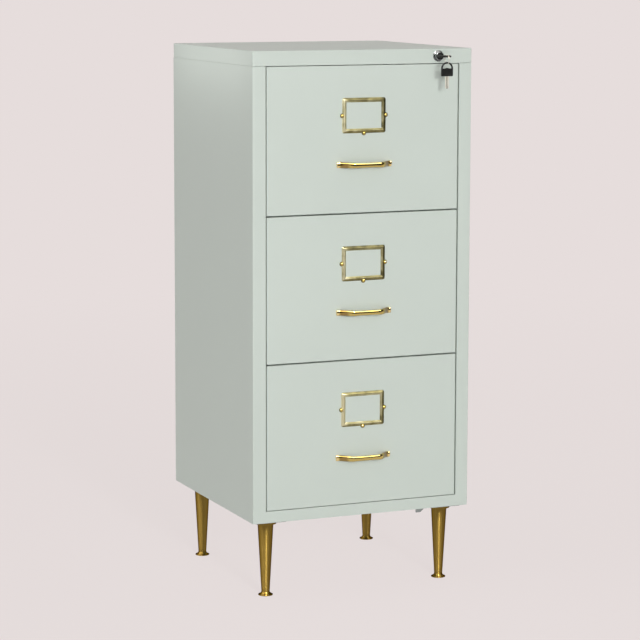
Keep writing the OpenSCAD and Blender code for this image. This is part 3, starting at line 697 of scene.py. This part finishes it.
def leg_profile(z_top, flange_tall=7.0):
    """Closed at both ends: up the bore, round the lower lip, up the cone, out along a concave fillet and
    round the rim of the flange."""
    under = z_top - flange_tall
    sweep = np.linspace(0, math.pi / 2, 8)
    z_cone = np.linspace(FOOT_TALL + 0.4, under - 2.4, 25)
    r_cone = LEG_LOW + (LEG_TOP - LEG_LOW) * (z_cone - FOOT_TALL) / (z_top - FOOT_TALL)
    cone = np.stack([r_cone, z_cone], -1)
    fillet = cone[-1] + 2.2 * np.stack([1 - np.cos(sweep), np.sin(sweep)], -1)
    return np.concatenate([[[4.1, 30], [4.1, FOOT_TALL + 0.3], [4.4, FOOT_TALL], [LEG_LOW - 0.4, FOOT_TALL],
                            [LEG_LOW - 0.1, FOOT_TALL + 0.1]], cone, fillet[1:],
                           [[FLANGE - 0.9, under + 0.05], [FLANGE - 0.25, under + 0.3],
                            [FLANGE, under + 0.9], [FLANGE, z_top - 0.4], [FLANGE - 0.3, z_top]]])


print("leg profile points", leg_profile(150).shape)

# %% [markdown]
# The stem's thread is a real helix, because a thread that is only shaded looks smooth at the stem's
# outline. The radius goes up and down once for every 1.25 mm of height, and the wave is shifted by one
# pitch on its way round.

# %% Thread of a foot
def threaded(centre, z0, z1, root=3.4, crest=3.95, pitch=1.25, spokes=32):
    """Point (i, j): radius = root + (crest - root) * triangle wave of (z / pitch - angle / turn)."""
    z = np.linspace(z0, z1, int((z1 - z0) / pitch * 8) + 1)[:, None]
    a = np.linspace(0, 2 * math.pi, spokes, endpoint=False)[None]
    wave = 1 - np.abs(2 * np.mod(z / pitch - a / (2 * math.pi), 1) - 1)
    r = root + (crest - root) * wave
    return np.stack([r * np.cos(a), r * np.sin(a), z + 0 * a], -1) + centre


print("thread points", threaded((0, 0, 0), 8.2, 28).shape)

# %% [markdown]
# The spun finish has to know which way is up on the metal, so each turned piece gets a map. Its first
# direction runs along the axis and its second one round it.

# %% Map for lathe work
def lathe_map(piece, centres):
    """UV map lathe: u = height / 100 mm, v = angle round the nearest axis / turn. On a face across the
    seam, a turn is added to the corners that lie past it."""
    mesh = piece.data
    points = np.empty(len(mesh.vertices) * 3)
    mesh.vertices.foreach_get("co", points)
    corner = np.empty(len(mesh.loops), int)
    mesh.loops.foreach_get("vertex_index", corner)
    starts, sizes = np.empty(len(mesh.polygons), int), np.empty(len(mesh.polygons), int)
    mesh.polygons.foreach_get("loop_start", starts)
    mesh.polygons.foreach_get("loop_total", sizes)
    p = points.reshape(-1, 3)[corner] * 1000
    away = p[:, None, :2] - np.array(centres)[None]
    nearest = (away ** 2).sum(-1).argmin(1)
    away = away[np.arange(len(p)), nearest]
    v = np.arctan2(away[:, 1], away[:, 0]) / (2 * math.pi)
    highest = np.repeat(np.maximum.reduceat(v, starts), sizes)
    v = np.where(highest - v > 0.5, v + 1, v)
    layer = mesh.uv_layers.new(name="lathe")
    layer.data.foreach_set("uv", np.stack([p[:, 2] / 100, v], -1).ravel())
    print(piece.name, "map spans", np.round(np.ptp(p[:, 2]) / 100, 2), "along the axis")


# %% [markdown]
# The four legs are one ready-made part, so they become one piece too, with a shell for each leg. Where
# the axes stand follows from the part's corners, which are a flange's radius outside them.

# %% Make the legs
low, high, _ = mm("legs")
leg_at = {"fl": (low[0] + FLANGE, low[1] + FLANGE), "fr": (high[0] - FLANGE, low[1] + FLANGE),
          "bl": (low[0] + FLANGE, high[1] - FLANGE), "br": (high[0] - FLANGE, high[1] - FLANGE)}
legs = skin("turned_legs", [(turned(leg_profile(high[2]), (x, y, 0), 64), False, True, True, True)
                            for x, y in leg_at.values()], spun, 30)
lathe_map(legs, list(leg_at.values()))
stand_for(legs, "cabinet", "legs")

# %% [markdown]
# A foot is a flat round plate with a concave bell above it that meets the leg's lower edge.

# %% Make the feet
bell = np.linspace(0, 1, 9)
foot_profile = np.concatenate([[(0.5, 0), (13.2, 0), (13.8, 0.25), (14.0, 0.7), (14.0, 1.5), (13.7, 1.9)],
                               np.stack([LEG_LOW + 4.5 * (1 - bell) ** 2.2, 2.0 + 5.9 * bell], -1),
                               [(LEG_LOW - 0.2, FOOT_TALL), (4.0, FOOT_TALL), (3.9, 8.4)]])
for place, (x, y) in leg_at.items():
    foot = skin(f"level_foot_{place}", [(turned(foot_profile, (x, y, 0), 56), False, True, True, True),
                                        (threaded((x, y, 0), 8.2, 28), False, True, True, True)], spun, 30)
    lathe_map(foot, [(x, y)])
    stand_for(foot, f"levelling_foot_{place}", f"foot_{place}")

# %% [markdown]
# ## Keys on their ring
#
# One key stays in the lock, its flat head level, and the spare hangs from it on a split ring. A head
# is moulded round the end of the blade: straight sides, an arched top with a crescent hole for the
# ring, soft edges, and a shallow panel on each face. Rays from a point inside the hole meet the hole's
# edge and the outer edge exactly once, so the head is a closed band between the two. It is drawn flat,
# with its top at height 0 and the blade pointing down.

# %% Outlines of a key head
ARCH, HOLE, HOLE_MIDDLE = 12.0, 9.4, -7.2


def head_outline(x, y):
    """Signed distance, negative inside, of the head's outline: an arch of radius ARCH over a foot, which
    is a rectangle 21 wide and 13.1 tall, grown by 1.5 all round."""
    box = np.maximum(np.abs(x) - 10.5, np.abs(y + 18.55) - 6.55)
    corner = np.hypot(np.maximum(np.abs(x) - 10.5, 0), np.maximum(np.abs(y + 18.55) - 6.55, 0))
    foot = corner + np.minimum(box, 0) - 1.5
    return np.minimum(np.hypot(x, y + ARCH) - ARCH, foot)


def crescent(x, y):
    """Signed distance, negative inside, of the hole: the upper half of a disc of radius HOLE, less a
    disc of radius 7.5 whose middle lies lower, so that the floor bulges up."""
    return np.maximum(np.maximum(np.hypot(x, y + ARCH) - HOLE, -ARCH - y), 7.5 - np.hypot(x, y + 18.5))


def reach_of(shape, angle, start=(0.0, HOLE_MIDDLE)):
    """Distance from start to the edge of a shape in each direction: 40 halvings of 0 to 30 mm."""
    near, far = np.zeros_like(angle), np.full_like(angle, 30.0)
    for _ in range(40):
        half = (near + far) / 2
        inside = shape(start[0] + half * np.cos(angle), start[1] + half * np.sin(angle)) < 0
        near, far = np.where(inside, half, near), np.where(inside, far, half)
    return near


print("the hole ends", np.round(reach_of(crescent, np.array([math.pi / 2])), 2), "mm above its middle")

# %% [markdown]
# The head is that band, laid over the front face and back under the other one. It could be an even
# slab, but moulded edges are always rounded, so its height falls off in a quarter circle near both
# outlines and steps down gently into the panel.

# %% Key head surface
def key_head(thick=3.4, soft=0.8, recess=0.35):
    """Point (i, j): direction i, share j of the way from the outer edge to the hole, on the front and
    back again. Height is thick/2, less a quarter circle near both edges, less the panel."""
    angle = np.linspace(0, 2 * math.pi, 180, endpoint=False)
    out, inner = reach_of(head_outline, angle)[:, None], reach_of(crescent, angle)[:, None]
    edge = soft * (1 - np.cos(np.linspace(0, math.pi / 2, 5)))[None]
    share = np.linspace(0, 1, 26)[None, 1:-1]
    r = np.concatenate([out - edge, (out - soft) * (1 - share) + (inner + soft) * share,
                        inner + edge[:, ::-1]], 1)
    x, y = r * np.cos(angle)[:, None], HOLE_MIDDLE + r * np.sin(angle)[:, None]
    near = np.clip(np.minimum(out - r, r - inner), 0, soft)
    panel = np.minimum(8.6 - np.abs(x), 5.2 - np.abs(y + 19.0))
    z = thick / 2 - soft + np.sqrt(soft ** 2 - (soft - near) ** 2) - recess * ease(panel / 0.5)
    front, back = np.stack([x, y, z], -1), np.stack([x, y, -z], -1)
    return np.concatenate([front, back[:, ::-1]], 1)


print("key head grid", key_head().shape)

# %% [markdown]
# A blade is a strip with notches cut into one edge. Sawing notches out of a solid would leave ragged
# faces, so the strip is drawn in narrow stations and each one ends at the depth of the cut there.

# %% Key blade surface
def key_blade(long=23.4, wide=7.0, thick=2.0, groove=0.6):
    """Point (i, j): station i along the blade, point j of its section. The cut edge is the lowest of
    four V cuts, each given by where it lies and how deep it is, with sides that rise 4 for 2.2 along.
    The tip narrows over 2 mm, and each face has a milled groove along it. The second result is 1 in the
    grooves and 0 elsewhere."""
    y = -np.linspace(0, long, 157)[:, None]
    cuts = np.array([[-9, 1.6], [-12, 0.9], [-15, 2.0], [-18, 1.2]])
    cut = (wide / 2 - cuts[:, 1] + np.abs(y - cuts[:, 0]) * 4 / 2.2).min(1, keepdims=True)
    tip = np.maximum(-y - (long - 2), 0) * 1.25
    right, left = np.minimum(cut, wide / 2 - tip), -wide / 2 + tip
    fixed = np.broadcast_to(np.array([-1.3, -0.9, 0.2, 0.6]), (len(y), 4))
    x = np.concatenate([left, left + 0.25, fixed, right - 0.25, right], 1)
    h = thick / 2 - np.array([0.3, 0, 0, groove, groove, 0, 0, 0.3]) + 0 * x
    front, back = np.stack([x, y + 0 * x, h], -1), np.stack([x, y + 0 * x, -h], -1)
    deep = np.broadcast_to([0, 0, 0, 1, 1, 0, 0, 0], x.shape)
    return np.concatenate([front, back[:, ::-1]], 1), np.concatenate([deep, deep[:, ::-1]], 1)


print("key blade grid", key_blade()[0].shape)

# %% [markdown]
# A shape drawn flat is laid in place by naming which way its width, length and thickness go. The head
# in the lock points at the viewer and the spare one hangs, so the two differ only in that.

# %% Keys
def laid(points, origin, wide, long, thick):
    """Point = origin + x * wide + y * long + z * thick, with three unit directions."""
    return points @ np.array([wide, long, thick], float) + np.asarray(origin, float)


HEAD_LONG, BLADE_OVERLAP = 26.6, 0.02  # the blade starts just inside the end of its head
low, _, head_mid = mm("key_bow")
flat = ((head_mid[0], low[1], head_mid[2]), (1, 0, 0), (0, -1, 0), (0, 0, 1))
_, high, spare_mid = mm("spare_bow")
hanging = ((spare_mid[0], spare_mid[1], high[2]), (1, 0, 0), (0, 0, 1), (0, 1, 0))
blade_points, deep = key_blade()
blade_points += [0, BLADE_OVERLAP - HEAD_LONG, 0]
for name, body, place in (("key", "key", flat), ("spare", "spare_key", hanging)):
    head = skin(f"{name}_head", [(laid(key_head(), *place), True, True, False, False)], black, 40)
    stand_for(head, body, f"{name}_bow")
    blade = skin(f"{name}_blade_cut", [(laid(blade_points, *place), False, True, True, True)], milled, 25)
    keep(blade, "groove", deep)
    stand_for(blade, body, f"{name}_blade")


# %% [markdown]
# The ring is spring wire wound twice round, so that a key can be threaded in between the turns. A plain
# torus would miss the step where one turn passes the other.

# %% Split ring
def split_ring(radius=8.75, wire=0.355, lift=0.375):
    """Tube round a two-turn path: angle a runs from 0.2 to 4 pi - 0.2 and the wire steps sideways from
    -lift to +lift around a = 2 pi. Point (i, j) is radius + wire cos b outwards and wire sin b sideways."""
    a = np.linspace(0.2, 4 * math.pi - 0.2, 241)[:, None]
    b = np.linspace(0, 2 * math.pi, 12, endpoint=False)[None]
    side = lift * (2 * ease((a - 2 * math.pi + 0.2) / 0.4) - 1)
    r = radius + wire * np.cos(b)
    return np.stack([side + wire * np.sin(b), r * np.sin(a), r * np.cos(a)], -1)


ring = skin("split_ring", [(split_ring() + mm("key_ring")[2], False, True, True, True)], nickel, 60)
stand_for(ring, "ring", "key_ring")

# %% [markdown]
# ## Lock face
#
# The lock is a round barrel with a raised nose and a bezel that hides the edge of its hole. Its edges
# are broken with small curves, which catch the thin bright rims that make plated metal look solid. It
# is turned about an axis that points at the viewer, from a profile of radii and heights.

# %% Lock barrel
BARREL_DEEP = 19.8  # behind the sheet
_, high, middle = mm("lock_barrel")
face = high[1] - BARREL_DEEP
curve = np.linspace(0, math.pi / 2, 6)
barrel_profile = np.concatenate([
    [[6.56, -BARREL_DEEP], [6.56, 8.75], [6.7, 8.97]],
    np.stack([6.8 + 1.4 * np.sin(curve), 7.6 + 1.4 * np.cos(curve)], -1),
    [[8.2, 2.6], [8.3, 2.2], [8.6, 2.0], [9.0, 1.96]],
    np.stack([9.4 + 1.35 * np.sin(curve), 0.55 + 1.4 * np.cos(curve)], -1),
    [[10.75, 0.0], [8.95, 0.0], [8.95, 0.3 - BARREL_DEEP], [8.6, -BARREL_DEEP]]])
barrel = skin("lock_barrel_turned", [(turned(barrel_profile, (middle[0], face, middle[2]), 72, "y"),
                                      True, True, False, False)], black_nickel, 30)
stand_for(barrel, "cabinet", "lock_barrel")

# %% [markdown]
# ## The last look
#
# The box round the dressed cabinet, without the floor, is worked out at the end. The finer surfaces
# may not reach outside the parts that they stand for.

# %% Sizes and the end
low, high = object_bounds()
